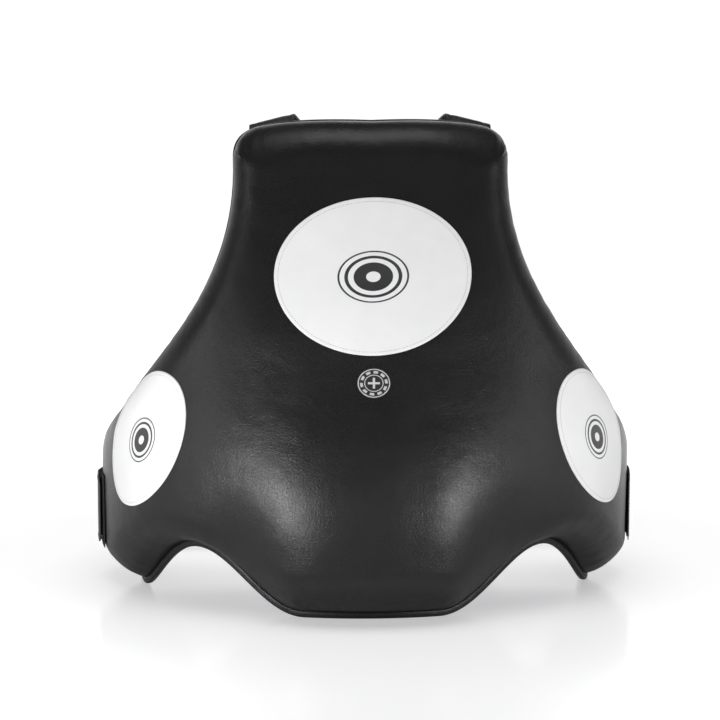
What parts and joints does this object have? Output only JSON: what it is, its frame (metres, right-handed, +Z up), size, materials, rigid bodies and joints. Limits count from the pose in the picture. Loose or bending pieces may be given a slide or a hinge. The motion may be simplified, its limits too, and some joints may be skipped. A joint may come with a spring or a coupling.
{
  "type": "trainer belly pad",
  "caption": "Padded trainer's belly pad with wrap-round side wings, crossed shoulder harness and hook-and-loop waist belt, standing on its flap and wings.",
  "frame": {"origin": "centre of the bounding box, on the surface that the flap and both wings stand on", "axes": "+Z up, front of the pad faces -Y, +X runs from the left wing to the right wing as seen from the front"},
  "size_m": [0.6471, 0.4267, 0.5756],
  "materials": {
    "black_leather": "semi-matte",
    "white_leather": "semi-matte",
    "black_binding": "semi-matte",
    "black_lining": "matte",
    "firm_foam": "matte",
    "soft_foam": "matte",
    "black_elastic": "matte",
    "hook_tape": "matte",
    "loop_tape": "matte"
  },
  "bodies": {
    "pad": {"lining": "black_lining", "inner_foam": "soft_foam", "outer_foam": "firm_foam", "front_cover": "black_leather", "edge_binding": "black_binding", "centre_patch": "white_leather", "left_patch": "white_leather", "right_patch": "white_leather", "left_strap_anchor": "black_leather", "right_strap_anchor": "black_leather", "left_wing_tab": "black_leather", "right_wing_tab": "black_leather", "left_tab_loop": "loop_tape", "right_tab_loop": "loop_tape", "belt_anchor": "black_leather", "side_loop_panel": "loop_tape"},
    "harness": {"left_strap_cover": "black_leather", "left_strap_foam": "soft_foam", "left_strap_lining": "black_lining", "right_strap_cover": "black_leather", "right_strap_foam": "soft_foam", "right_strap_lining": "black_lining", "keeper_outer": "black_leather", "keeper_inner": "black_leather"},
    "left_tail": {"left_tail": "black_leather", "left_tail_hook": "hook_tape"},
    "right_tail": {"right_tail": "black_leather", "right_tail_hook": "hook_tape"},
    "belt": {"belt_elastic": "black_elastic", "belt_lining": "black_lining", "belt_foam": "soft_foam", "belt_cover": "black_leather"},
    "belt_tab": {"belt_tab": "black_leather", "belt_tab_hook": "hook_tape"}
  },
  "joints": [
    {"name": "harness_fold", "type": "hinge", "parent": "pad", "child": "harness", "pos_m": [0, -0.07515, 0.575], "axis": [1, 0, 0], "range_deg": [0, 110]},
    {"name": "left_tail_peel", "type": "hinge", "parent": "harness", "child": "left_tail", "pos_m": [0.09021, 0.19441, 0.31079], "axis": [0.5761, -0.0594, 0.8152], "range_deg": [0, 80]},
    {"name": "right_tail_peel", "type": "hinge", "parent": "harness", "child": "right_tail", "pos_m": [-0.09021, 0.19441, 0.31079], "axis": [0.5761, 0.0594, -0.8152], "range_deg": [0, 80]},
    {"name": "belt_swing", "type": "hinge", "parent": "pad", "child": "belt", "pos_m": [0.31086, 0.11098, 0.09], "axis": [0, 0, -1], "range_deg": [0, 110]},
    {"name": "belt_tab_peel", "type": "hinge", "parent": "belt", "child": "belt_tab", "pos_m": [-0.31369, 0.1139, 0.09], "axis": [0, 0, -1], "range_deg": [0, 80]}
  ]
}
